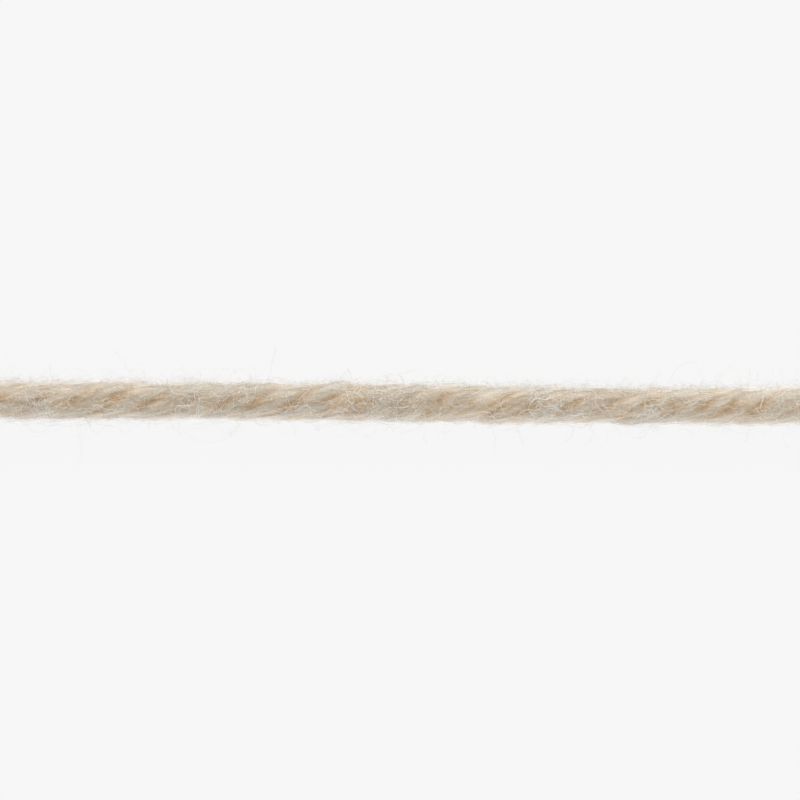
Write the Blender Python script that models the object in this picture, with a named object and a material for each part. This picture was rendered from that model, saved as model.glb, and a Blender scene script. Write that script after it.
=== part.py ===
# Knitting yarn: a short cut length of a worsted-weight, four-ply wool yarn, lying straight on a surface.
# Frame: metres, X along the strand, Z up, origin under its middle on the surface that it lies on.
# The strand is one solid. Its four plies are twisted together S-wise and their backs stand out as lobes.

import math

import bmesh
import bpy
import numpy as np
from mathutils import Vector

MM = 0.001

# Driving dimensions
STRAND_LENGTH = 62 * MM        # cut length
STRAND_DIAMETER = 2.5 * MM     # across the backs of the plies
PLY_COUNT = 4
FLATTENED = 0.12 * MM          # how far the underside is pressed flat where it lies
PLY_BACK = 0.46                # radius of a ply's rounded back, as a share of the strand's radius
GROOVE_FLOOR = 0.70            # radius where two plies press together, as a share of the strand's radius
PLY_SIZE = (1.00, 0.955, 1.02, 0.97)   # the plies aren't spun equally thick
END_ROUND = 0.25 * MM          # how far the cut edge is rubbed back at each end
END_SHRINK = 0.90              # size of the cut face against the strand behind it

POINTS_ON_PLY = 7              # points over each ply's back
RING_STEP = 0.425 * MM         # distance between sections along the strand

# Sections along the strand: place along it, sideways wander, thickness and the twist so far.
STATIONS = [
    {"x_mm": -31.0, "y_mm": 0.18, "thickness": 1.02, "turns": -2.92},
    {"x_mm": -24.5, "y_mm": 0.18, "thickness": 1.03, "turns": -2.32},
    {"x_mm": -17.5, "y_mm": 0.17, "thickness": 1.00, "turns": -1.66},
    {"x_mm": -14.0, "y_mm": 0.15, "thickness": 0.98, "turns": -1.34},
    {"x_mm": -10.5, "y_mm": 0.12, "thickness": 0.98, "turns": -0.95},
    {"x_mm": -7.0, "y_mm": 0.08, "thickness": 1.00, "turns": -0.59},
    {"x_mm": -3.5, "y_mm": 0.04, "thickness": 1.02, "turns": -0.22},
    {"x_mm": 0.0, "y_mm": 0.00, "thickness": 1.02, "turns": 0.09},
    {"x_mm": 3.5, "y_mm": -0.05, "thickness": 1.02, "turns": 0.47},
    {"x_mm": 7.0, "y_mm": -0.11, "thickness": 1.00, "turns": 0.90},
    {"x_mm": 10.5, "y_mm": -0.16, "thickness": 0.99, "turns": 1.25},
    {"x_mm": 14.0, "y_mm": -0.19, "thickness": 0.97, "turns": 1.59},
    {"x_mm": 17.5, "y_mm": -0.21, "thickness": 0.96, "turns": 1.93},
    {"x_mm": 21.0, "y_mm": -0.21, "thickness": 0.97, "turns": 2.36},
    {"x_mm": 24.5, "y_mm": -0.21, "thickness": 0.98, "turns": 2.83},
    {"x_mm": 31.0, "y_mm": -0.20, "thickness": 0.99, "turns": 3.50},
]

WOOL = {"colour": (0.70, 0.62, 0.50, 1.0), "roughness": 0.95, "metallic": 0.0}


def clear_scene():
    for thing in list(bpy.data.objects):
        bpy.data.objects.remove(thing, do_unlink=True)


def new_collection(name):
    found = bpy.data.collections.new(name)
    bpy.context.scene.collection.children.link(found)
    return found


def wool_material():
    made = bpy.data.materials.new("cream_wool")
    made.use_nodes = True
    shader = made.node_tree.nodes["Principled BSDF"]
    shader.inputs["Base Color"].default_value = WOOL["colour"]
    shader.inputs["Roughness"].default_value = WOOL["roughness"]
    shader.inputs["Metallic"].default_value = WOOL["metallic"]
    made.diffuse_color = WOOL["colour"]
    return made


def smooth_between(places, values, at):
    # A smooth curve through the table's rows: cubic pieces whose slopes come from the rows on either side.
    slopes = np.gradient(values, places)
    row = np.clip(np.searchsorted(places, at, side="right") - 1, 0, len(places) - 2)
    span = places[row + 1] - places[row]
    t = (at - places[row]) / span
    start, end = values[row], values[row + 1]
    lift_off, landing = slopes[row] * span, slopes[row + 1] * span
    return (
        (2 * t**3 - 3 * t**2 + 1) * start
        + (t**3 - 2 * t**2 + t) * lift_off
        + (3 * t**2 - 2 * t**3) * end
        + (t**3 - t**2) * landing
    )


def ring_places():
    # Where the sections stand along X, with one more just inside each cut end for its rubbed edge.
    half = STRAND_LENGTH / 2
    count = round((STRAND_LENGTH - 2 * END_ROUND) / RING_STEP)
    inner = np.linspace(-half + END_ROUND, half - END_ROUND, count + 1)
    return np.concatenate(([-half], inner, [half]))


def ply_section(collection):
    # The closed section: each ply's back is an arc about its own centre, and neighbours meet in a groove.
    radius = STRAND_DIAMETER / 2
    share = 2 * math.pi / PLY_COUNT
    curve = bpy.data.curves.new("ply_section", "CURVE")
    curve.dimensions = "2D"
    spline = curve.splines.new("POLY")
    spline.points.add(PLY_COUNT * POINTS_ON_PLY - 1)
    for ply, size in enumerate(PLY_SIZE):
        back = PLY_BACK * radius * size
        centre = radius * size - back
        for step in range(POINTS_ON_PLY):
            off = share * (step / POINTS_ON_PLY - 0.5)   # 0 at the crown of the ply, the groove first
            reach = centre * math.cos(off) + math.sqrt(max(back**2 - (centre * math.sin(off)) ** 2, 0))
            reach = max(reach, GROOVE_FLOOR * radius)
            angle = share * ply + off
            point = (reach * math.cos(angle), reach * math.sin(angle), 0, 1)
            spline.points[ply * POINTS_ON_PLY + step].co = point
    spline.use_cyclic_u = True
    section = bpy.data.objects.new("ply_section", curve)
    section.hide_render = True
    section.display_type = "WIRE"
    collection.objects.link(section)
    return section


def strand_path(section):
    # The section carried along the strand's own line, turning by the plies' twist and swelling a little.
    table = {key: np.array([row[key] for row in STATIONS], float) for key in STATIONS[0]}
    at = ring_places()
    stations = table["x_mm"] * MM
    side = smooth_between(stations, table["y_mm"] * MM, at)
    thick = smooth_between(stations, table["thickness"], at)
    turns = smooth_between(stations, table["turns"], at)
    lift = STRAND_DIAMETER / 2 * thick - FLATTENED
    thick[[0, -1]] *= END_SHRINK

    curve = bpy.data.curves.new("strand_line", "CURVE")
    curve.dimensions = "3D"
    curve.twist_mode = "Z_UP"
    curve.bevel_mode = "OBJECT"
    curve.bevel_object = section
    curve.use_fill_caps = True
    spline = curve.splines.new("POLY")
    spline.points.add(len(at) - 1)
    for point, x, y, z, size, turn in zip(spline.points, at, side, lift, thick, turns):
        point.co = (x, y, z, 1)
        point.radius = size
        point.tilt = -2 * math.pi * turn   # backwards, which makes the twist S-wise
    return bpy.data.objects.new("strand_line", curve)


def as_mesh(curve_object, collection, name):
    # The curve's own surface as a mesh, with its two cut faces joined on.
    collection.objects.link(curve_object)
    depsgraph = bpy.context.evaluated_depsgraph_get()
    mesh = bpy.data.meshes.new_from_object(curve_object.evaluated_get(depsgraph))
    made = bpy.data.objects.new(name, mesh)
    made.matrix_world = curve_object.matrix_world
    bpy.data.objects.remove(curve_object, do_unlink=True)
    mesh.name = name
    shape = bmesh.new()
    shape.from_mesh(mesh)
    bmesh.ops.remove_doubles(shape, verts=shape.verts, dist=0.002 * MM)
    bmesh.ops.recalc_face_normals(shape, faces=shape.faces)
    press_flat(shape)
    shape.to_mesh(mesh)
    shape.free()
    collection.objects.link(made)
    return made


def press_flat(shape):
    # The soft underside flattens on the surface: nothing is left below it.
    for vert in shape.verts:
        vert.co = Vector((vert.co.x, vert.co.y, max(vert.co.z, 0.0)))


def main():
    clear_scene()
    parts = new_collection("knitting_yarn")
    guides = new_collection("guides")
    section = ply_section(guides)
    strand = as_mesh(strand_path(section), parts, "yarn_strand")
    strand.data.materials.clear()
    strand.data.materials.append(wool_material())
    strand.data.shade_smooth()
    strand.data.set_sharp_from_angle(angle=math.radians(50))


main()
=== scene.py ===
# Knitting yarn: a short length of cream four-ply wool, lying straight on a pale lit table.
import math

import bpy
import numpy as np
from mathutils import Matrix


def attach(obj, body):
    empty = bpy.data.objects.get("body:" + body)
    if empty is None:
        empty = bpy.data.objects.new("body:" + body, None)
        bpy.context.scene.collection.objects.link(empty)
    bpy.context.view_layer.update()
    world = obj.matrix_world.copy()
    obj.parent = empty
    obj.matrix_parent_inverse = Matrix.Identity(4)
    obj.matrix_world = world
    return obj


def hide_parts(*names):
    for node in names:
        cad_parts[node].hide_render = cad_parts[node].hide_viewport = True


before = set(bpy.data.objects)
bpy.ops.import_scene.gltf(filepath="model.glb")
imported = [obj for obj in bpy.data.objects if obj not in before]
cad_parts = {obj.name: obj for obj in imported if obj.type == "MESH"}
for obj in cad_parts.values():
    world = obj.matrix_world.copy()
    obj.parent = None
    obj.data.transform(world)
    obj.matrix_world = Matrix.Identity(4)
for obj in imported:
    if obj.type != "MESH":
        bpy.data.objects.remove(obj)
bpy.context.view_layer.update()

mm = 0.001
turn = 2 * math.pi

# the camera looks straight down through a long lens, with the strand across the whole view
cameraSet = {"lens": 100, "sensor": 36, "across": 55.6 * mm, "aimY": 0.21 * mm, "aimZ": 1.25 * mm,
             "clipNear": 2 * mm, "clipFar": 5}


def makeCamera(c):
    data = bpy.data.cameras.new("copyStand")
    data.lens = c["lens"]
    data.sensor_width = c["sensor"]
    data.clip_start = c["clipNear"]
    data.clip_end = c["clipFar"]
    camera = bpy.data.objects.new("copyStand", data)
    camera.location = (0, c["aimY"], c["aimZ"] + c["across"] * c["lens"] / c["sensor"])
    bpy.context.scene.collection.objects.link(camera)
    bpy.context.scene.camera = camera


makeCamera(cameraSet)
print("camera set")

# the strand: its section is four arcs, sized as shares of the strand's radius; "firm" is how much of the
# thickness is firm wool under the haze, and "fill" how much of each groove loose wool fills
strand = {"length": 62 * mm, "diameter": 2.5 * mm, "plies": 4, "flattened": 0.12 * mm,
          "plyBack": 0.46, "grooveFloor": 0.70, "plySize": (1.00, 0.955, 1.02, 0.97),
          "firm": 0.915, "fill": 0.67, "offTable": 0.004 * mm}

# the strand's own line, x and y in mm, with the same stations as the part
stations = [
    {"x": -31.0, "y": 0.18, "thickness": 1.02, "turns": -2.92},
    {"x": -24.5, "y": 0.18, "thickness": 1.03, "turns": -2.32},
    {"x": -17.5, "y": 0.17, "thickness": 1.00, "turns": -1.66},
    {"x": -14.0, "y": 0.15, "thickness": 0.98, "turns": -1.34},
    {"x": -10.5, "y": 0.12, "thickness": 0.98, "turns": -0.95},
    {"x": -7.0, "y": 0.08, "thickness": 1.00, "turns": -0.59},
    {"x": -3.5, "y": 0.04, "thickness": 1.02, "turns": -0.22},
    {"x": 0.0, "y": 0.00, "thickness": 1.02, "turns": 0.09},
    {"x": 3.5, "y": -0.05, "thickness": 1.02, "turns": 0.47},
    {"x": 7.0, "y": -0.11, "thickness": 1.00, "turns": 0.90},
    {"x": 10.5, "y": -0.16, "thickness": 0.99, "turns": 1.25},
    {"x": 14.0, "y": -0.19, "thickness": 0.97, "turns": 1.59},
    {"x": 17.5, "y": -0.21, "thickness": 0.96, "turns": 1.93},
    {"x": 21.0, "y": -0.21, "thickness": 0.97, "turns": 2.36},
    {"x": 24.5, "y": -0.21, "thickness": 0.98, "turns": 2.83},
    {"x": 31.0, "y": -0.20, "thickness": 0.99, "turns": 3.50},
]
stationTable = {key: np.array([row[key] for row in stations]) for key in stations[0]}


# a cubic through the stations, whose slope at each one comes from the stations on either side
def alongStrand(key, x):
    places = stationTable["x"] * mm
    values = stationTable[key]
    slopes = np.gradient(values, places)
    row = np.clip(np.searchsorted(places, x, side="right") - 1, 0, len(places) - 2)
    span = places[row + 1] - places[row]
    t = np.clip((x - places[row]) / span, 0, 1)
    start = (2 * t**3 - 3 * t**2 + 1) * values[row] + (t**3 - 2 * t**2 + t) * slopes[row] * span
    return start + (3 * t**2 - 2 * t**3) * values[row + 1] + (t**3 - t**2) * slopes[row + 1] * span


# slight slubs: waves in the thickness and sideways, which repeat along the strand at unlike lengths
slubs = [
    {"length": 5.3 * mm, "phase": 0.4, "thick": 0.016, "aside": 0.026 * mm},
    {"length": 8.9 * mm, "phase": 2.9, "thick": 0.014, "aside": 0.034 * mm},
    {"length": 3.4 * mm, "phase": 1.7, "thick": 0.010, "aside": 0.014 * mm},
]
asideRate = 1.13   # the sideways wave is this much quicker than the one in the thickness


# the strand's middle (y and z), its firm thickness as a share of the whole, and its twist, at each x: the
# stations' curves plus the slubs' sines, lifted so that the flattened underside lies on the table
def strandAt(x):
    thick = alongStrand("thickness", x)
    middleY = alongStrand("y", x) * mm
    for slub in slubs:
        wave = turn * x / slub["length"] + slub["phase"]
        thick = thick + slub["thick"] * np.sin(wave)
        middleY = middleY + slub["aside"] * np.cos(asideRate * wave)
    middleZ = strand["diameter"] / 2 * thick - strand["flattened"]
    return middleY, middleZ, thick * strand["firm"], turn * alongStrand("turns", x)


# a place on the strand: x along it, an angle round it from straight up towards +Y, a radius from its middle
def placed(x, angle, radius):
    middleY, middleZ, _, _ = strandAt(x)
    z = middleZ + radius * np.cos(angle)
    return np.stack([x, middleY + radius * np.sin(angle), np.maximum(z, strand["offTable"])], axis=-1)


# how far the plies reach from the middle: each back is an arc about its own centre, down to the groove's
# floor, and the loose wool between them fills part of each groove
def plyReach(x, angle, fill=strand["fill"]):
    _, _, thick, twist = strandAt(x)
    radius = strand["diameter"] / 2
    share = turn / strand["plies"]
    ply = np.round((angle - twist) / share)
    off = (angle - twist) - ply * share
    size = np.array(strand["plySize"])[ply.astype(int) % strand["plies"]]
    back = strand["plyBack"] * radius * size
    centre = radius * size - back
    reach = centre * np.cos(off) + np.sqrt(np.maximum(back**2 - (centre * np.sin(off)) ** 2, 0))
    reach = np.maximum(reach, strand["grooveFloor"] * radius)
    return (reach + fill * (radius - reach)) * thick


# a smooth random wave for each fibre: three sines, each faster and weaker than the last
def wander(rng, t, cycles, strength):
    total = 0
    for faster, share in ((1, 0.6), (2.1, 0.3), (4.3, 0.16)):
        phase = rng.uniform(0, turn, (t.shape[0], 1))
        rate = cycles * faster * rng.uniform(0.7, 1.3, (t.shape[0], 1))
        total = total + share * np.sin(turn * rate * t + phase)
    return strength * total


# 0 up to low, 1 from high on, and a smooth cubic between them
def smoothStep(low, high, value):
    t = np.clip((value - low) / (high - low), 0, 1)
    return t * t * (3 - 2 * t)


# the same run from 0 to 1 along every fibre, (fibres, steps)
def stepsAlong(count, steps):
    return np.linspace(0, 1, steps)[None] * np.ones((count, 1))


underside = -0.45   # the cosine of the angle past which a fibre lies underneath


# which fibres to keep: all above, fewer underneath, where the strand lies on the table
def keepAbove(rng, angle, share):
    under = np.cos(angle) < underside
    return ~under | (rng.uniform(0, 1, angle.shape) < share)


# shares of the strand's radius that place the painted groove shade: from "floor" to "back" the plies' reach
# leaves the groove, and from "near" to "clear" a point leaves the wool for the air
grooveSet = {"floor": 0.76, "back": 0.97, "near": 0.98, "clear": 1.08}


# where the painted warm shade goes: 0 out on the plies' backs and in the air, 1 down in the grooves
def depthOf(points):
    x = points[..., 0]
    middleY, middleZ, thick, _ = strandAt(x)
    sideways, up = points[..., 1] - middleY, points[..., 2] - middleZ
    radius = strand["diameter"] / 2 * thick
    reach = plyReach(x, np.arctan2(sideways, up), 0) / radius
    groove = 1 - smoothStep(grooveSet["floor"], grooveSet["back"], reach)
    return groove * (1 - smoothStep(grooveSet["near"], grooveSet["clear"], np.hypot(sideways, up) / radius))


# two patterns' leans: how far each turns with the plies, and how slowly it runs along the strand
streakLean = {"turned": 0.65, "along": 0.16}
lainLean = {"turned": 0.3, "along": 0.18}


# coordinates that turn part of the way with the plies and run slowly along the strand, so that a pattern in
# them leans as the spun fibres do: x shortened, and the section turned back by a share of the twist
def unwoundAt(points, turned, along):
    middleY, middleZ, _, twist = strandAt(points[..., 0])
    sideways, up = points[..., 1] - middleY, points[..., 2] - middleZ
    cosine, sine = np.cos(turned * twist), np.sin(turned * twist)
    across, out = sideways * cosine - up * sine, up * cosine + sideways * sine
    return np.stack([along * points[..., 0], out, across], axis=-1)


# the values that every wool piece carries for its colour and for where its painted groove shade goes
def woolValues(points, tone):
    return {"tone": tone, "depth": depthOf(points), "unwound": unwoundAt(points, **streakLean),
            "lain": unwoundAt(points, **lainLean)}


# arrays into a mesh: its points, its four-sided and three-sided faces, and the values that points carry
def putMesh(name, points, quads, others, values):
    mesh = bpy.data.meshes.new(name)
    corners = np.concatenate([quads.ravel(), others.ravel()]).astype(np.int32)
    starts = np.concatenate([np.arange(len(quads)) * 4, quads.size + np.arange(len(others)) * 3])
    mesh.vertices.add(len(points))
    mesh.vertices.foreach_set("co", points.astype(np.float32).ravel())
    mesh.loops.add(len(corners))
    mesh.loops.foreach_set("vertex_index", corners)
    mesh.polygons.add(len(starts))
    mesh.polygons.foreach_set("loop_start", starts.astype(np.int32))
    mesh.update(calc_edges=True)
    mesh.shade_smooth()
    for key, value in values.items():
        kind, field = ("FLOAT_VECTOR", "vector") if value.ndim == 2 else ("FLOAT", "value")
        layer = mesh.attributes.new(key, kind, "POINT")
        layer.data.foreach_set(field, value.astype(np.float32).ravel())
    piece = bpy.data.objects.new(name, mesh)
    bpy.context.scene.collection.objects.link(piece)
    return piece


# the grid that a closed skin is worked out on: rings along the strand, with one more at each end for the
# rounded edge there, and angles round it
def ringGrid(g):
    half = strand["length"] / 2 - g["short"]
    inner = np.linspace(-half + g["endRound"], half - g["endRound"], g["rings"])
    x = np.concatenate([[-half], inner, [half]])
    angle = turn * np.arange(g["around"]) / g["around"]
    return np.meshgrid(x, angle, indexing="ij")


# a tube through rings of points, (rings, around, 3), closed by a fan to a middle point at each end
def ringMesh(name, rings, values):
    count, around, _ = rings.shape
    index = np.arange(count * around).reshape(count, around)
    beside = np.roll(index, -1, axis=1)
    quads = np.stack([index[:-1], index[1:], beside[1:], beside[:-1]], axis=-1).reshape(-1, 4)
    first, last = count * around, count * around + 1
    fanStart = np.stack([np.full(around, first), index[0], beside[0]], axis=-1)
    fanEnd = np.stack([np.full(around, last), beside[-1], index[-1]], axis=-1)
    points = np.concatenate([rings.reshape(-1, 3), rings[:1].mean(1), rings[-1:].mean(1)])
    flat = {}
    for key, v in values.items():
        middles = [v[:1].mean(1), v[-1:].mean(1)]
        flat[key] = np.concatenate([v.reshape(count * around, *v.shape[2:]), *middles])
    return putMesh(name, points, quads, np.concatenate([fanStart, fanEnd]), flat)


fibreTips = {"share": 0.125, "thin": 0.25}   # the length of a fibre's taper, and how thin its tip is


# many fine fibres as three-sided tubes along their paths, (fibres, steps, 3), tapering to both tips: each
# ring is a triangle square to the path, turned from the axis that the fibre stays furthest from
def fibreMesh(name, paths, thickness, values):
    count, steps, _ = paths.shape
    along = np.gradient(paths, axis=1)
    along /= np.maximum(np.linalg.norm(along, axis=2, keepdims=True), 1e-12)
    lean = np.abs(along).max(axis=1)   # how near each fibre comes to each axis
    guide = np.eye(3)[np.argmin(lean, axis=1)][:, None]
    side = np.cross(along, guide)
    side /= np.linalg.norm(side, axis=2, keepdims=True)
    up = np.cross(along, side)
    t = np.linspace(0, 1, steps)
    taper = np.clip(np.minimum(t, 1 - t) / fibreTips["share"], fibreTips["thin"], 1)
    reach = (thickness[:, None] / 2 * taper)[..., None, None]
    corner = turn * np.arange(3) / 3
    ring = np.cos(corner)[:, None] * side[:, :, None] + np.sin(corner)[:, None] * up[:, :, None]
    points = paths[:, :, None] + reach * ring
    index = np.arange(count * steps * 3).reshape(count, steps, 3)
    beside = np.roll(index, -1, axis=2)
    quads = np.stack([index[:, :-1], beside[:, :-1], beside[:, 1:], index[:, 1:]], axis=-1)
    tips = np.concatenate([index[:, 0, ::-1], index[:, -1]])
    carried = {}
    for key, v in values.items():
        carried[key] = np.repeat(v.reshape(count * steps, *v.shape[2:]), 3, axis=0)
    return putMesh(name, points.reshape(-1, 3), quads.reshape(-1, 4), tips, carried)


# a shader socket that can stand in an expression
class Socket:
    def __init__(self, tree, link):
        self.tree = tree
        self.link = link

    def maths(self, operation, *values):
        settings = {"operation": operation}
        return addNode(self.tree, "ShaderNodeMath", settings, dict(enumerate(values)))

    def __add__(self, other):
        return self.maths("ADD", self, other)

    def __radd__(self, other):
        return self.maths("ADD", other, self)

    def __sub__(self, other):
        return self.maths("SUBTRACT", self, other)

    def __rsub__(self, other):
        return self.maths("SUBTRACT", other, self)

    def __mul__(self, other):
        return self.maths("MULTIPLY", self, other)

    def __rmul__(self, other):
        return self.maths("MULTIPLY", other, self)


def addNode(tree, kind, settings=None, sockets=None, output=0):
    node = tree.nodes.new(kind)
    for key, value in (settings or {}).items():
        setattr(node, key, value)
    for key, value in (sockets or {}).items():
        if isinstance(value, Socket):
            tree.links.new(value.link, node.inputs[key])
        else:
            node.inputs[key].default_value = value
    return Socket(tree, node.outputs[output])


# what the wool materials share. The patterns' sizes are repeats per metre: "mottle" all over, "streak" for
# the streaks of painted golden shade, "slow" for the broad changes, "spun" for the body's own fibres and
# "wisp" for the soft layers. "cover" is how much a soft layer hides, "through" the share of light that fine
# fibres let through, and "glow" the colour of that light.
wool = {"mottle": 900, "mottleShare": 0.3, "streak": 2700, "goldenShadeFrom": 0.44, "goldenShadeTo": 0.51,
        "grooveShare": 0.6, "slow": 320, "slowShare": 0.35, "shade": 0.21,
        "spun": 0, "spunShare": 1.4, "spunBump": 0.5, "spunDeep": 0.03 * mm,
        "wisp": 3000, "wispFrom": 0.35, "wispTo": 0.65, "cover": None, "through": 0.0}


# one wool material: pale on the backs and in lone fibres, and mottled all over; the colour runs from "dark"
# to
# "pale" by tone, then towards a deeper golden colour, a painted warm shade, in random streaks and most down
# in the grooves
def woolMaterial(name, w):
    material = bpy.data.materials.new(name)
    material.use_nodes = True
    tree = material.node_tree
    shader = tree.nodes["Principled BSDF"]
    shader.inputs["Roughness"].default_value = w["roughness"]
    shader.inputs["Specular IOR Level"].default_value = w["specular"]

    def carried(key, output):
        return addNode(tree, "ShaderNodeAttribute", {"attribute_name": key}, output=output)

    def noise(where, scale, detail):
        return addNode(tree, "ShaderNodeTexNoise", {}, {"Vector": where, "Scale": scale, "Detail": detail})

    def between(value, low, high, least, most):
        sockets = {0: value, 1: low, 2: high, 3: least, 4: most}
        return addNode(tree, "ShaderNodeMapRange", {"clamp": True}, sockets)

    def mixed(share, first, second):
        return addNode(tree, "ShaderNodeMix", {"data_type": "RGBA"}, {0: share, 6: first, 7: second}, 2)

    vector, number, objectPlace = 1, 2, 3   # the outputs that the nodes below are read at
    lain = carried("lain", vector)
    place = addNode(tree, "ShaderNodeTexCoord", output=objectPlace)
    spread = carried("tone", number) + (noise(place, w["mottle"], 2.0) - 0.5) * w["mottleShare"]
    slow = noise(lain, w["slow"], 1.0) - 0.5
    spread = spread + slow * w["slowShare"]
    # the painted warm shade: random streaks, weighted towards the grooves by the depth mask
    streaks = noise(carried("unwound", vector), w["streak"], 3.0)
    goldenPaintedShade = between(streaks, w["goldenShadeFrom"], w["goldenShadeTo"], *w["goldenPaintedShade"])
    goldenPaintedShade = goldenPaintedShade * (carried("depth", number) * w["grooveShare"] + (1 - w["grooveShare"]))
    if w["spun"]:
        fine = noise(carried("spun", vector), w["spun"], 3.0)
        spread = spread + (fine - 0.5) * w["spunShare"]
        ridges = {"Height": fine, "Strength": w["spunBump"], "Distance": w["spunDeep"]}
        bump = addNode(tree, "ShaderNodeBump", {}, ridges)
        tree.links.new(bump.link, shader.inputs["Normal"])
    colour = mixed(goldenPaintedShade, mixed(spread, w["dark"], w["pale"]), w["groove"])
    shaded = {"Value": 1 + slow * w["shade"], "Color": colour}
    colour = addNode(tree, "ShaderNodeHueSaturation", {}, shaded)
    tree.links.new(colour.link, shader.inputs["Base Color"])
    if w["cover"]:
        wisps = noise(lain, w["wisp"], 3.0)
        cover = between(wisps, w["wispFrom"], w["wispTo"], *w["cover"]) * carried("veil", number)
        tree.links.new(cover.link, shader.inputs["Alpha"])
    if w["through"]:
        glow = addNode(tree, "ShaderNodeBsdfTranslucent", {}, {"Color": w["glow"]})
        surface = Socket(tree, shader.outputs[0])
        both = addNode(tree, "ShaderNodeMixShader", {}, {0: w["through"], 1: surface, 2: glow})
        tree.links.new(both.link, tree.nodes["Material Output"].inputs["Surface"])
    return material


# in each of these, the deep golden colour is painted warm shade, laid down the grooves and in streaks
bodyWool = woolMaterial("bodyWool", wool | {
    "dark": (0.655, 0.525, 0.365, 1), "pale": (0.82, 0.75, 0.63, 1), "groove": (0.60, 0.37, 0.15, 1),
    "goldenPaintedShade": (0.2, 1.0), "spun": 9000, "roughness": 0.95, "specular": 0.1})
fibreWool = woolMaterial("fibreWool", wool | {
    "dark": (0.635, 0.515, 0.36, 1), "pale": (0.82, 0.755, 0.645, 1), "groove": (0.585, 0.365, 0.145, 1),
    "goldenPaintedShade": (0.1, 1.0), "roughness": 0.85, "specular": 0.15})
strayWool = woolMaterial("strayWool", wool | {
    "dark": (0.80, 0.78, 0.73, 1), "pale": (0.93, 0.93, 0.92, 1), "groove": (0.84, 0.76, 0.63, 1),
    "goldenPaintedShade": (0.1, 0.5), "mottle": 700, "roughness": 0.7, "specular": 0.3})
hazeWool = woolMaterial("hazeWool", wool | {
    "dark": (0.68, 0.64, 0.57, 1), "pale": (0.83, 0.80, 0.74, 1), "groove": (0.79, 0.70, 0.56, 1),
    "goldenPaintedShade": (0.1, 0.5), "mottle": 700, "through": 0.3, "glow": (0.76, 0.72, 0.645, 1),
    "roughness": 0.8, "specular": 0.1})
print("materials made")


def finishPiece(piece, material):
    piece.data.materials.append(material)
    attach(piece, "root")
    return piece


# the body: the four plies' backs in one closed surface, lumpy as spun wool is
bodySet = {"rings": 280, "around": 68, "short": 0.1 * mm, "under": 0.045 * mm, "endRound": 0.3 * mm,
           "endShrink": 0.86, "waves": 6, "lump": 0.015 * mm, "lumpLength": 2.2 * mm, "spun": 0.6,
           "fibreLong": 0.12, "tone": 0.5, "toneShare": 0.2, "toneRound": 9, "toneLength": 3.1 * mm,
           "seed": 11}


# the plies' reach drawn in by the fibres' layer, plus a few crossing waves for lumps, over x and the angle
def makeBody(b):
    rng = np.random.default_rng(b["seed"])
    x, angle = ringGrid(b)
    reach = plyReach(x, angle) - b["under"]
    back = angle - b["spun"] * strandAt(x)[3]
    for _ in range(b["waves"]):
        around = rng.integers(5, 19)
        phase = rng.uniform(0, turn)
        length = b["lumpLength"] * rng.uniform(0.6, 1.8)
        reach = reach + b["lump"] / 3 * np.sin(around * back + turn * x / length + phase)
    reach[[0, -1]] *= b["endShrink"]
    points = placed(x, angle, reach)
    tone = b["tone"] + b["toneShare"] * np.sin(b["toneRound"] * back) * np.sin(turn * x / b["toneLength"])
    values = woolValues(points, tone) | {"spun": unwoundAt(points, b["spun"], b["fibreLong"])}
    return ringMesh("yarnBody", points, values)


body = finishPiece(makeBody(bodySet), bodyWool)
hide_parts("yarn_strand")
print("body made")

# the fibres of each ply. "offset" and "radius" are a ply's middle and size as shares of the strand's radius,
# "spunTurn" the length of one turn of its own spin, "layer" how deep the lowest fibres lie, and "lock" and
# the two lengths with it a faint change of tone from one lock of fibres to the next
plySet = {"count": 1700, "steps": 9, "underShare": 0.3, "thin": 0.014 * mm, "thick": 0.030 * mm,
          "offset": 0.56, "radius": 0.44, "wide": 1.05, "spunTurn": 5.0 * mm, "slant": 0.28, "span": 1.0,
          "facing": 0.6, "long": 1.7 * mm, "least": 0.5 * mm, "wave": 0.10, "layer": 0.91,
          "migrate": 0.03 * mm, "dip": 0.07 * mm, "loose": 0.05 * mm, "looseShare": 0.12,
          "pastEnds": 1.2 * mm, "withinEnd": 0.6 * mm, "fray": 0.8 * mm, "frayPower": 1.5,
          "tone": 0.5, "toneSpread": 0.05, "toneWave": 0.06, "lock": 0.04, "lockLong": 2.3 * mm,
          "lockLonger": 3.7 * mm, "seed": 100}


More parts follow.
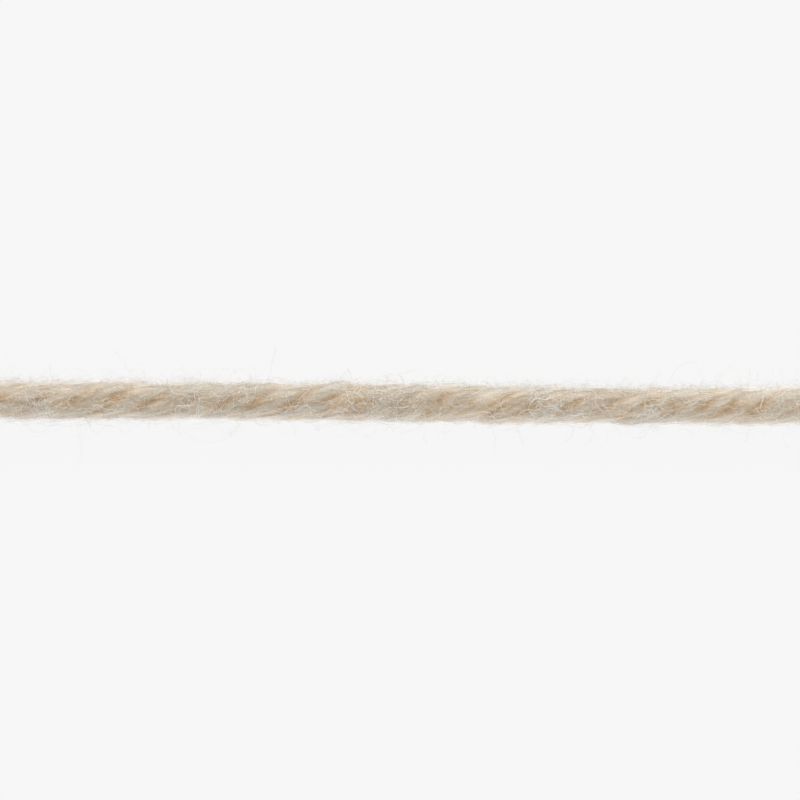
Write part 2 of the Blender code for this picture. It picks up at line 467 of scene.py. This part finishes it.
# each fibre crosses the ply's back at its own slant, on a circle about the ply's own middle, and dips under
# at both tips
def makePly(number, p):
    rng = np.random.default_rng(p["seed"] + number)
    half = strand["length"] / 2
    around = turn * number / strand["plies"]
    middle = rng.uniform(-half - p["pastEnds"], half + p["pastEnds"], (p["count"], 1))
    mid = rng.normal(0, p["span"], (p["count"], 1))   # where on the back it crosses
    facing = strandAt(middle)[3] + around + mid * p["facing"]
    kept = keepAbove(rng, facing[:, 0], p["underShare"])
    middle, mid = middle[kept], mid[kept]
    count = len(mid)
    ahead = rng.uniform(0.5, 1.0, (count, 1)) * p["long"]
    behind = rng.uniform(0.5, 1.0, (count, 1)) * p["long"]
    fray = rng.uniform(0.0, 1.0, (count, 1)) ** p["frayPower"] * p["fray"]
    x0 = np.clip(middle - behind, -half - fray, half - p["withinEnd"])
    x1 = np.clip(middle + ahead, x0 + p["least"], half + fray)
    t = stepsAlong(count, p["steps"])
    x = x0 + (x1 - x0) * t
    _, _, thick, twist = strandAt(x)
    radius = strand["diameter"] / 2 * thick * strand["plySize"][number]
    slant = 1 + rng.normal(0, p["slant"], (count, 1))
    spun = mid - turn * (x - middle) / p["spunTurn"] * slant + wander(rng, t, 1.6, p["wave"])
    layer = rng.uniform(p["layer"], 1.0, (count, 1))
    isLoose = rng.uniform(0, 1, (count, 1)) < p["looseShare"]
    loose = isLoose * p["loose"] * rng.uniform(0.2, 1.0, (count, 1))
    ring = p["radius"] * radius * layer + wander(rng, t, 1.2, p["migrate"])
    ring = ring + loose * np.sin(math.pi * t) ** 2 - p["dip"] * (1 - np.sin(math.pi * t)) ** 3
    outward = p["offset"] * radius + ring * np.cos(spun)
    sideways = ring * p["wide"] * np.sin(spun)
    angle = twist + around + np.arctan2(sideways, outward)
    reach = np.hypot(outward, sideways)
    paths = placed(x, angle, reach + strand["fill"] * np.maximum(radius - reach, 0))
    thickness = rng.uniform(p["thin"], p["thick"], count)
    lock = 0.5 * np.sin(3 * mid + turn * middle / p["lockLong"])
    lock = lock + 0.5 * np.sin(5 * mid - turn * middle / p["lockLonger"])
    tone = rng.normal(p["tone"], p["toneSpread"], (count, 1)) + p["lock"] * lock
    tone = np.clip(tone + wander(rng, t, 0.8, p["toneWave"]), 0, 1)
    return fibreMesh(f"plyFibres_{number}", paths, thickness, woolValues(paths, tone))


plies = [finishPiece(makePly(number, plySet), fibreWool) for number in range(strand["plies"])]
print("ply fibres made")

# stray fibres that curl over the plies, then thicker curled ones and finer hairs. "heading" and "slants" are
# the mean and the spread of the way that they lie, from along the strand to round it
looseSet = {"pastEnds": 0.6 * mm, "startPast": 1 * mm, "sink": 0.15 * mm, "migrate": 0.02 * mm,
            "toneSpread": 0.2}
straySet = looseSet | {
    "count": 560, "steps": 24, "underShare": 0.3, "thin": 0.011 * mm, "thick": 0.026 * mm,
    "shortest": 2.0 * mm, "longest": 7 * mm, "lift": 0.12 * mm, "heading": 0.45, "slants": 0.7,
    "curl": 1.1, "netShare": 0.35, "tone": 0.5, "seed": 7}
curlSet = looseSet | {
    "count": 420, "steps": 30, "underShare": 0.4, "thin": 0.016 * mm, "thick": 0.044 * mm,
    "shortest": 1.4 * mm, "longest": 4.4 * mm, "lift": 0.17 * mm, "heading": 0.8, "slants": 1.0,
    "curl": 1.6, "netShare": 0.65, "tone": 1.0, "seed": 19}
hairSet = looseSet | {
    "count": 2000, "steps": 14, "underShare": 0.3, "thin": 0.008 * mm, "thick": 0.021 * mm,
    "shortest": 0.8 * mm, "longest": 3.2 * mm, "lift": 0.20 * mm, "heading": 0.5, "slants": 1.0,
    "curl": 1.4, "netShare": 0.45, "tone": 0.95, "seed": 29}

# the places, in mm, where loose hairs gather along the strand: each set has a share, "netShare", that starts
# in one of these nets, and the rest start anywhere
nets = [
    {"x": -25.2, "wide": 1.2},
    {"x": -14.8, "wide": 2.6},
    {"x": -3.4, "wide": 2.4},
    {"x": -1.0, "wide": 1.5},
    {"x": 9.6, "wide": 1.2},
    {"x": 15.4, "wide": 1.8},
    {"x": 26.4, "wide": 2.6},
]
netSpread = 0.6   # how a net's hairs scatter about its middle, as a share of its width


def placeAlong(rng, count, half, netShare):
    x = rng.uniform(-half, half, (count, 1))
    netTable = np.array([[net["x"], net["wide"]] for net in nets])
    middle, wide = netTable[rng.integers(0, len(nets), count)].T * mm
    netted = (middle + wide * rng.normal(0, netSpread, count))[:, None]
    return np.where(rng.uniform(0, 1, (count, 1)) < netShare, netted, x)


# each starts at a random place and follows a heading that wanders, over a hull that bridges the grooves, and
# both its ends go back into the wool
def makeStrays(name, s):
    rng = np.random.default_rng(s["seed"])
    half = strand["length"] / 2
    start = rng.uniform(0, turn, s["count"])
    start = start[keepAbove(rng, start, s["underShare"])][:, None]
    count = len(start)
    t = stepsAlong(count, s["steps"])
    length = rng.uniform(s["shortest"], s["longest"], (count, 1))
    heading = rng.normal(s["heading"], s["slants"], (count, 1)) + wander(rng, t, 0.7, s["curl"])
    step = length / s["steps"]
    x = placeAlong(rng, count, half + s["startPast"], s["netShare"])
    x = x + np.cumsum(np.cos(heading), axis=1) * step
    x = np.clip(x, -half - s["pastEnds"], half + s["pastEnds"])
    over = strand["diameter"] / 2
    angle = start + np.cumsum(np.sin(heading), axis=1) * step / over
    thick = strandAt(x)[2]
    hull = 0.5 * plyReach(x, angle) + 0.5 * over * thick
    radius = hull + s["lift"] * rng.uniform(0.2, 1.0, (count, 1)) + wander(rng, t, 1.2, s["migrate"])
    radius = radius - s["sink"] * (1 - np.sin(math.pi * t)) ** 3
    paths = placed(x, angle, radius)
    thickness = s["thin"] + (s["thick"] - s["thin"]) * rng.uniform(0, 1, count) ** 2
    tone = np.clip(rng.normal(s["tone"], s["toneSpread"], (count, 1)) + 0 * t, 0, 1)
    return fibreMesh(name, paths, thickness, woolValues(paths, tone))


strays = finishPiece(makeStrays("strayFibres", straySet), strayWool)
curls = finishPiece(makeStrays("curledFibres", curlSet), strayWool)
hairs = finishPiece(makeStrays("fineHairs", hairSet), strayWool)
print("strays made")

# soft haze: the finest fibres, too many to lay one by one, as thin see-through layers over the plies. The
# two outer layers are paler and whiter and thickest on the flanks: partly the real fuzz seen edge on, partly
# painted light that makes the flanks pale. "bridge" is how far a layer spans the grooves, and "above" how
# thick it is on top beside its flanks
hazeAndFlankLightLayers = [
    {"lift": 0.02 * mm, "bridge": 0.25, "cover": (0.15, 0.37), "above": 1.0,
     "dark": (0.645, 0.53, 0.375, 1), "pale": (0.795, 0.73, 0.615, 1), "groove": (0.59, 0.375, 0.155, 1)},
    {"lift": 0.13 * mm, "bridge": 0.20, "cover": (0.30, 0.64), "above": 0.32,
     "dark": (0.715, 0.65, 0.53, 1), "pale": (0.86, 0.84, 0.79, 1), "groove": (0.66, 0.49, 0.29, 1)},
    {"lift": 0.28 * mm, "bridge": 0.12, "cover": (0.08, 0.34), "above": 0.16,
     "dark": (0.74, 0.735, 0.715, 1), "pale": (0.82, 0.835, 0.84, 1), "groove": (0.75, 0.70, 0.62, 1)},
]
# "nearShare" and "flankPower" set how the pale layers, painted flank light, gather on each flank
hazeAndFlankLightSet = {"rings": 240, "around": 54, "short": 0.05 * mm, "endRound": 0.3 * mm, "endShrink": 0.8,
           "nearShare": 1.1, "flankPower": 1.5, "endFade": 1.1 * mm, "tone": 0.5}


# the plies' reach, drawn part of the way to a plain circle and lifted off the fibres, over x and the angle;
# "veil" thickens the layer from "above" on top to all of it on the flanks, a little more on the near flank,
# so the pale layers paint light on the flanks over the real fuzz, and thins it out at the cut ends
def makeHazeAndFlankLight(number, layer, h):
    x, angle = ringGrid(h)
    circle = strand["diameter"] / 2 * strandAt(x)[2]
    reach = (1 - layer["bridge"]) * plyReach(x, angle) + layer["bridge"] * circle + layer["lift"]
    reach[[0, -1]] *= h["endShrink"]
    points = placed(x, angle, reach)
    fuzzAndFlankLight = np.abs(np.sin(angle)) ** h["flankPower"] * np.where(np.sin(angle) > 0, 1, h["nearShare"])
    ends = smoothStep(0, h["endFade"], x[-1, 0] - np.abs(x))
    veil = (layer["above"] + fuzzAndFlankLight * (1 - layer["above"])) * ends
    values = woolValues(points, np.full(x.shape, h["tone"])) | {"veil": veil}
    return ringMesh(f"softHazeAndFlankLight_{number}", points, values)


for number, layer in enumerate(hazeAndFlankLightLayers):
    hazeAndFlankLightWool = woolMaterial(f"hazeAndFlankLightWool_{number}", wool | {
        "dark": layer["dark"], "pale": layer["pale"], "groove": layer["groove"], "goldenPaintedShade": (0.1, 1.0),
        "cover": layer["cover"], "roughness": 0.9, "specular": 0.1})
    finishPiece(makeHazeAndFlankLight(number, layer, hazeAndFlankLightSet), hazeAndFlankLightWool)
print("soft haze made")

# what the edge fibres below share: heights are scattered by a gamma curve, and "swell" rounds their rise.
# Their crimp along the strand, round it and outwards is so many times each set's own
edgeSet = {"pastEnds": 1.2 * mm, "heightShape": 1.6, "heightScale": 0.6, "swell": 0.8,
           "crimpAlong": 2, "crimpRound": 1.5, "crimpOut": 0.4, "toneSpread": 0.2}


# fine fibres that start at the strand's sides, rise from a root in the wool, and either come back to it
# along a half sine or end in the air
def makeHairs(name, h):
    rng = np.random.default_rng(h["seed"])
    half = strand["length"] / 2
    side = np.where(rng.uniform(0, 1, h["count"]) < h["farShare"], 1, -1)
    start = side * turn / 4 + rng.normal(0, h["spread"], h["count"])
    start = start[keepAbove(rng, start, h["underShare"])][:, None]
    count = len(start)
    t = stepsAlong(count, h["steps"])
    free = rng.uniform(0, 1, (count, 1)) < h["freeShare"]
    rise = np.where(free, t ** h["swell"], np.sin(math.pi * t) ** h["swell"])
    height = h["height"] * rng.gamma(h["heightShape"], h["heightScale"], (count, 1))
    along = rng.normal(0, 1, (count, 1)) * h["along"]
    x = rng.uniform(-half, half, (count, 1)) + along * t + wander(rng, t, 0.9, h["crimp"] * h["crimpAlong"])
    x = np.clip(x, -half - h["pastEnds"], half + h["pastEnds"])
    angle = start + rng.normal(0, h["round"], (count, 1)) * t
    angle = angle + wander(rng, t, 0.9, h["crimp"] * h["crimpRound"]) / (strand["diameter"] / 2)
    radius = plyReach(x, angle) - h["root"] + (height + h["root"]) * rise
    radius = radius + wander(rng, t, 1.3, h["crimp"] * h["crimpOut"])
    paths = placed(x, angle, radius)
    thickness = rng.uniform(h["thin"], h["thick"], count)
    tone = np.clip(rng.normal(h["tone"], h["toneSpread"], (count, 1)) + 0 * t, 0, 1)
    return fibreMesh(name, paths, thickness, woolValues(paths, tone))


farHazeSet = edgeSet | {
    "count": 6400, "steps": 5, "underShare": 0.4, "thin": 0.006 * mm, "thick": 0.014 * mm,
    "height": 0.26 * mm, "root": 0.16 * mm, "along": 0.9 * mm, "round": 0.5, "crimp": 0.12 * mm,
    "freeShare": 0.3, "farShare": 1.0, "spread": 0.65, "tone": 0.5, "seed": 47}
farHaze = finishPiece(makeHairs("farHaze", farHazeSet), hazeWool)

nearHazeSet = edgeSet | {
    "count": 2500, "steps": 6, "underShare": 0.4, "thin": 0.008 * mm, "thick": 0.019 * mm,
    "height": 0.125 * mm, "root": 0.14 * mm, "along": 0.9 * mm, "round": 0.5, "crimp": 0.10 * mm,
    "freeShare": 0.3, "farShare": 0.0, "spread": 0.5, "tone": 0.5, "seed": 48}
nearHaze = finishPiece(makeHairs("nearHaze", nearHazeSet), hazeWool)

topHazeSet = edgeSet | {
    "count": 1000, "steps": 6, "underShare": 0.4, "thin": 0.007 * mm, "thick": 0.015 * mm,
    "height": 0.05 * mm, "root": 0.06 * mm, "along": 1.4 * mm, "round": 0.6, "crimp": 0.10 * mm,
    "freeShare": 0.1, "farShare": 0.5, "spread": 1.3, "tone": 0.4, "seed": 49}
topHaze = finishPiece(makeHairs("topHaze", topHazeSet), hazeWool)

fuzzSet = edgeSet | {
    "count": 1500, "steps": 9, "underShare": 0.3, "thin": 0.008 * mm, "thick": 0.018 * mm,
    "height": 0.18 * mm, "root": 0.12 * mm, "along": 1.3 * mm, "round": 0.6, "crimp": 0.14 * mm,
    "freeShare": 0.3, "farShare": 0.55, "spread": 1.2, "tone": 0.5, "seed": 31}
fuzz = finishPiece(makeHairs("fuzz", fuzzSet), hazeWool)

haloSet = edgeSet | {
    "count": 760, "steps": 14, "underShare": 0.5, "thin": 0.005 * mm, "thick": 0.010 * mm,
    "height": 0.75 * mm, "root": 0.12 * mm, "along": 2.2 * mm, "round": 0.5, "crimp": 0.2 * mm,
    "freeShare": 0.5, "farShare": 0.5, "spread": 1.4, "tone": 0.5, "seed": 23}
halo = finishPiece(makeHairs("haloHairs", haloSet), hazeWool)
print("fuzz and halo made")

# a few longer hairs that stand out from the rest: where each leaves the strand in mm, on which side, how far
# out it goes, how far along, and whether it comes back as a loop
loneHairs = [
    {"x": -24.0, "side": 1, "out": 1.6, "along": -0.4, "loop": 0},
    {"x": -9.3, "side": 1, "out": 3.1, "along": 0.7, "loop": 0},
    {"x": -4.6, "side": 1, "out": 1.1, "along": 0.9, "loop": 0},
    {"x": 2.0, "side": 1, "out": 0.9, "along": 1.5, "loop": 1},
    {"x": 21.9, "side": 1, "out": 1.4, "along": 0.3, "loop": 0},
    {"x": 24.1, "side": 1, "out": 1.7, "along": 0.2, "loop": 0},
    {"x": -26.3, "side": -1, "out": 1.2, "along": 2.4, "loop": 1},
    {"x": -22.0, "side": -1, "out": 1.1, "along": 1.9, "loop": 1},
    {"x": -17.3, "side": -1, "out": 1.0, "along": -0.2, "loop": 0},
    {"x": -7.9, "side": -1, "out": 1.3, "along": 0.8, "loop": 0},
    {"x": 6.4, "side": -1, "out": 2.2, "along": 0.2, "loop": 0},
    {"x": 8.2, "side": -1, "out": 2.1, "along": 0.3, "loop": 0},
    {"x": 24.6, "side": -1, "out": 1.7, "along": -0.9, "loop": 0},
]
loneSet = {"steps": 22, "thickness": 0.012 * mm, "crimp": 0.12 * mm, "root": 0.15 * mm, "swell": 0.8,
           "climb": 0.15, "tone": 0.4, "seed": 61}


# each runs straight out from the strand's side, or out and back along a half sine, and climbs a little
def makeLoneHairs(h):
    rng = np.random.default_rng(h["seed"])
    x0, side, out, along, loop = np.array([list(hair.values()) for hair in loneHairs]).T[..., None]
    t = stepsAlong(len(loneHairs), h["steps"])
    rise = np.where(loop > 0, np.sin(math.pi * t) ** h["swell"], t)
    x = (x0 + along * t) * mm + wander(rng, t, 0.9, h["crimp"])
    angle = side * turn / 4 * (1 - h["climb"] * t) + wander(rng, t, 0.9, h["crimp"]) / strand["diameter"]
    radius = plyReach(x, angle) - h["root"] + (out * mm + h["root"]) * rise
    paths = placed(x, angle, radius)
    thickness = np.full(len(loneHairs), h["thickness"])
    return fibreMesh("loneHairs", paths, thickness, woolValues(paths, h["tone"] + 0 * t))


lone = finishPiece(makeLoneHairs(loneSet), hazeWool)
print("lone hairs made")

# the strand's middle line at the stations: a bare cut length that lies along them
lineX = stationTable["x"] * mm
lineY, lineZ, _, _ = strandAt(lineX)

# the table glows evenly, so the strand lies on near white and throws hardly any shadow
tableSet = {"size": 1.2, "below": 0.01 * mm, "colour": (0.02, 0.02, 0.02, 1), "light": (1, 1, 1, 1),
            "glow": 0.905}


def makeTable(f):
    corners = np.array([[-1, -1], [1, -1], [1, 1], [-1, 1]]) * f["size"] / 2
    points = np.column_stack([corners, np.full(4, -f["below"])])
    table = putMesh("table", points, np.array([[0, 1, 2, 3]]), np.zeros((0, 3), int), {})
    material = bpy.data.materials.new("paleTable")
    material.use_nodes = True
    shader = material.node_tree.nodes["Principled BSDF"]
    shader.inputs["Base Color"].default_value = f["colour"]
    shader.inputs["Roughness"].default_value = 1
    shader.inputs["Specular IOR Level"].default_value = 0
    shader.inputs["Emission Color"].default_value = f["light"]
    shader.inputs["Emission Strength"].default_value = f["glow"]
    table.data.materials.append(material)


makeTable(tableSet)

lamps = {
    "farSoftbox": {"at": (0.0, 0.31, 0.14), "size": (0.6, 0.14), "power": 1.86,
                   "colour": (1, 0.985, 0.96)},
    "nearSoftbox": {"at": (0.0, -0.33, 0.07), "size": (0.6, 0.12), "power": 1.36,
                    "colour": (0.98, 0.99, 1)},
    "overhead": {"at": (0.0, 0.0, 0.45), "size": (0.4, 0.4), "power": 0.1, "colour": (1, 1, 1)},
}


# a flat lamp that is tipped about X to face the strand
def makeLamp(name, l):
    data = bpy.data.lights.new(name, "AREA")
    data.shape = "RECTANGLE"
    data.size, data.size_y = l["size"]
    data.energy = l["power"]
    data.color = l["colour"]
    lamp = bpy.data.objects.new(name, data)
    lamp.location = l["at"]
    x, y, z = l["at"]
    tip = math.atan2(math.hypot(x, y), z)
    lamp.rotation_euler = (tip if y <= 0 else -tip, 0, 0)
    bpy.context.scene.collection.objects.link(lamp)


for name, lampSet in lamps.items():
    makeLamp(name, lampSet)

roomSet = {"colour": (1.0, 0.985, 0.955, 1), "strength": 0.505}


def makeRoom(r):
    world = bpy.data.worlds.new("room")
    world.use_nodes = True
    background = world.node_tree.nodes["Background"]
    background.inputs["Color"].default_value = r["colour"]
    background.inputs["Strength"].default_value = r["strength"]
    bpy.context.scene.world = world
    bpy.context.scene.view_settings.view_transform = "Standard"


makeRoom(roomSet)
print("table and light made")
